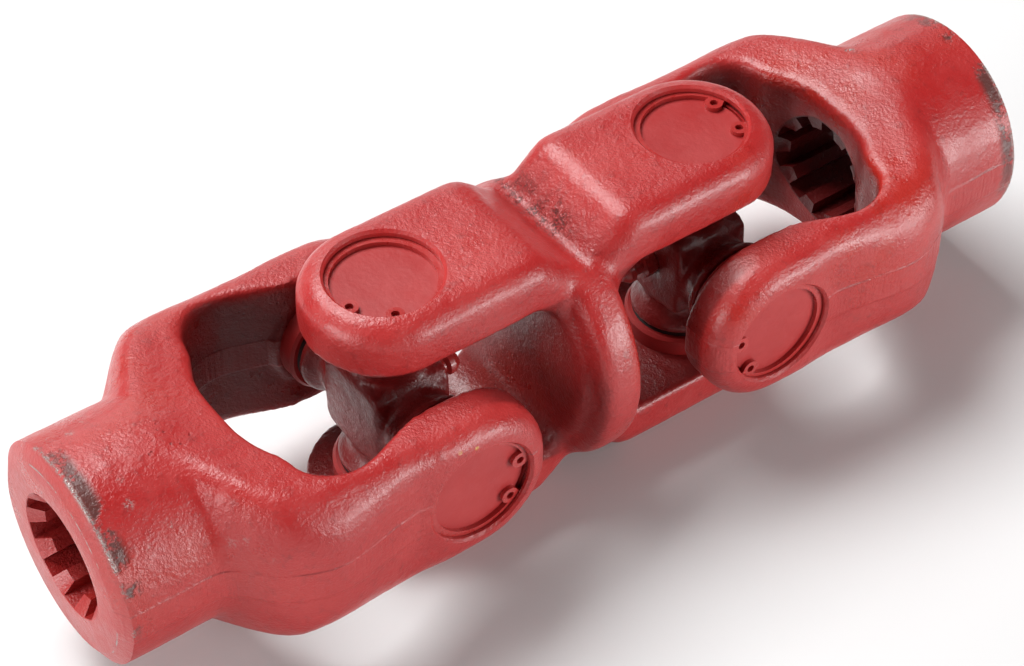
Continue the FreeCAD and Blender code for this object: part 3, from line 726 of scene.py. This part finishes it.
def machined_faces(mesh, centre, axis, side):
    """Gives cut faces the machined material: bore walls and, for an end yoke, its hub's face and spline."""
    count = len(mesh.polygons)
    middle = np.empty(count * 3, np.float32)
    mesh.polygons.foreach_get("center", middle)
    middle = middle.reshape(-1, 3).astype(float)
    cut_face = np.zeros(count, bool)
    for x in centre:
        out = middle - np.array([x, 0, 0])
        along = out @ np.array(axis)
        radial = np.sqrt(np.maximum((out ** 2).sum(1) - along ** 2, 0))
        cut_face |= (radial < CUP_BORE + 0.95 * MM) & (np.abs(along) > EAR_INNER - 2 * MM)
    if side:
        radial = np.hypot(middle[:, 1], middle[:, 2])
        along = side * middle[:, 0]
        cut_face |= along > HUB_FACE - HUB_CHAMFER_DEPTH - 0.02 * MM
        cut_face |= (radial < SPLINE_MAJOR + 0.02 * MM) & (along > HUB_FACE - 60 * MM)
    mesh.polygons.foreach_set("material_index", cut_face.astype(np.int32))


def trim_band(points):
    """The low ridge that trimming the forging's flash leaves along its parting plane."""
    z = np.abs(points[:, 2])
    edge = np.exp(-((z - 4.6 * MM) / (0.5 * MM)) ** 2)
    flat = smoothstep(4.9 * MM, 4.3 * MM, z)
    outside = smoothstep(24 * MM, 29 * MM, np.abs(points[:, 1]))
    return (0.10 * edge + 0.08 * flat) * MM * outside


def end_yoke(side):
    """One splined fork, forged all over, with its bores, spline and hub face cut afterwards."""
    name = "left" if side < 0 else "right"
    node = f"{name}_end_yoke"
    x = side * HALF_SPACING
    origin = (x, 0, 0)
    outward = (side, 0, 0)
    ear_axes = [(0, s, 0) for s in (1, -1)]
    plugs = [bore_plug(origin, axis, END_EAR_FACE) for axis in ear_axes]
    plugs.append(hub_plug(origin, outward))
    obj = new_object(f"{name}_fork_forging", joined([welded_copy(node), *plugs]))
    remesh(obj, YOKE_VOXEL)
    from_cross = side * (coordinates(obj.data)[:, 0] - x)
    shoulders = smoothstep(14 * MM, 34 * MM, from_cross) * smoothstep(76 * MM, 66 * MM, from_cross)
    hub_root = smoothstep(50 * MM, 58 * MM, from_cross) * smoothstep(76 * MM, 70 * MM, from_cross)
    round_shoulders(obj.data, from_cross)
    soften(obj.data, 6)
    soften(obj.data, 20, shoulders)
    soften(obj.data, 40, hub_root)
    hammered(obj.data, 3 if side < 0 else 8, extra=trim_band)
    tools = [bore_tool(origin, axis, END_EAR_FACE) for axis in ear_axes]
    tools.append(spline_prism(side * (HALF_SPACING + THROAT - 8 * MM), side * (HUB_FACE + 8 * MM)))
    tools.append(spline_mouth_tool(origin, outward))
    tools.append(hub_face_tool(origin, outward))
    cut(obj, tools)
    machined_faces(obj.data, [x], (0, 1, 0), side)
    crease(obj.data)
    wear(obj, FORK_PAINT, MACHINED)
    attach(obj, f"{name}_fork_unit")
    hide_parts(node)


def centre_yoke():
    """The double fork in the middle, forged all over, with its four bores cut afterwards."""
    ears = [((x, 0, 0), (0, 0, s)) for x in (HALF_SPACING, -HALF_SPACING) for s in (1, -1)]
    plugs = [bore_plug(origin, axis, CENTRE_EAR_FACE) for origin, axis in ears]
    obj = new_object("centre_forging", joined([welded_copy("centre_yoke"), *plugs]))
    remesh(obj, YOKE_VOXEL)
    points = np.abs(coordinates(obj.data))
    web = smoothstep(24 * MM, 16 * MM, points[:, 0]) * smoothstep(35 * MM, 28 * MM, points[:, 2])
    soften(obj.data, 5)
    soften(obj.data, 14, web)
    hammered(obj.data, 5)
    cut(obj, [bore_tool(origin, axis, CENTRE_EAR_FACE) for origin, axis in ears])
    machined_faces(obj.data, [HALF_SPACING, -HALF_SPACING], (0, 0, 1), 0)
    crease(obj.data)
    wear(obj, CENTRE_PAINT, MACHINED)
    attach(obj, "centre_yoke_unit")
    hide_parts("centre_yoke")


def cross(side):
    """One cross: its core and shoulders forged, and its trunnions only lightly softened."""
    name = "left" if side < 0 else "right"
    node = f"{name}_cross"
    x = side * HALF_SPACING
    obj = new_object(f"{name}_cross_forging", welded_copy(node))
    remesh(obj, CROSS_VOXEL)
    away = np.abs(coordinates(obj.data) - np.array([x, 0, 0]))
    core = smoothstep(20.2 * MM, 17.5 * MM, away.max(1))
    soften(obj.data, 3)
    soften(obj.data, 22, core)
    hammered(obj.data, 11 if side < 0 else 17, 0.16, 0.08, core)
    crease(obj.data, 40)
    wear(obj, CROSS_PAINT)
    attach(obj, f"{name}_cross_unit")
    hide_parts(node)


centre_yoke()
for direction in (-1, 1):
    end_yoke(direction)
    cross(direction)

FINISHES = {
    "grease_nipple": SMALL_PAINT, "valve_ball": BEARING, "valve_spring": SPRING,
    "cup": CUP_PAINT, "seal": RUBBER, "thrust_washer": NYLON, "needles": BEARING, "circlip": SMALL_PAINT,
}
for node_name, cad_node in NODES.items():
    for ending, finish in FINISHES.items():
        if node_name.endswith(ending):
            wear(cad_node, finish)


# ---------------------------------------------------------------- stage, light and camera

def area_light(name, place, width, height, power):
    """A soft white light, aimed at the origin."""
    light = bpy.data.lights.new(name, "AREA")
    light.shape = "RECTANGLE"
    light.size, light.size_y = width, height
    light.energy = power
    obj = new_object(name, light)
    obj.location = place
    obj.rotation_mode = "QUATERNION"
    obj.rotation_quaternion = (-Vector(place)).to_track_quat("-Z", "Y")


def floor():
    bm = bmesh.new()
    bmesh.ops.create_grid(bm, x_segments=1, y_segments=1, size=6)
    mesh = bpy.data.meshes.new("floor")
    bm.to_mesh(mesh)
    bm.free()
    obj = new_object("floor", mesh)
    obj.location.z = cad_box[0].z - 0.3 * MM
    wear(obj, Nodes("floor_white").finish((0.74, 0.74, 0.74), 0.8))


def camera():
    """Looks down along the shaft from the left hub's end, with a long lens."""
    turn = math.radians(36.24)
    rise = math.radians(44.99)
    roll = math.radians(0.57)
    back = Vector((-math.sin(turn) * math.cos(rise), -math.cos(turn) * math.cos(rise), math.sin(rise)))
    right = Vector((0, 0, 1)).cross(back).normalized()
    up = back.cross(right)
    right, up = right * math.cos(roll) + up * math.sin(roll), up * math.cos(roll) - right * math.sin(roll)
    data = bpy.data.cameras.new("camera")
    data.sensor_width = 36
    data.lens = 100.18
    data.clip_start, data.clip_end = 0.01, 50
    obj = new_object("camera", data)
    place = right * -0.007215 + up * -0.004483 + back * 0.7573
    obj.matrix_world = Matrix((
        (right.x, up.x, back.x, place.x),
        (right.y, up.y, back.y, place.y),
        (right.z, up.z, back.z, place.z),
        (0, 0, 0, 1)))
    bpy.context.scene.camera = obj


floor()
camera()
area_light("top", (-0.25, 0.75, 1.32), 1.0, 0.9, 34)
area_light("front", (0.85, -1.42, 0.22), 0.9, 0.5, 23)
area_light("edge", (0.75, -1.22, 0.98), 0.35, 0.35, 2.0)
area_light("left", (-1.60, 0.05, 0.36), 0.8, 0.6, 17)
area_light("back", (0.75, 1.60, 0.55), 1.2, 0.5, 5)

world = bpy.data.worlds.new("studio")
world.use_nodes = True
background = world.node_tree.nodes["Background"]
background.inputs["Color"].default_value = (1, 1, 1, 1)
background.inputs["Strength"].default_value = 0.04
bpy.context.scene.world = world
bpy.context.scene.view_settings.view_transform = "Standard"
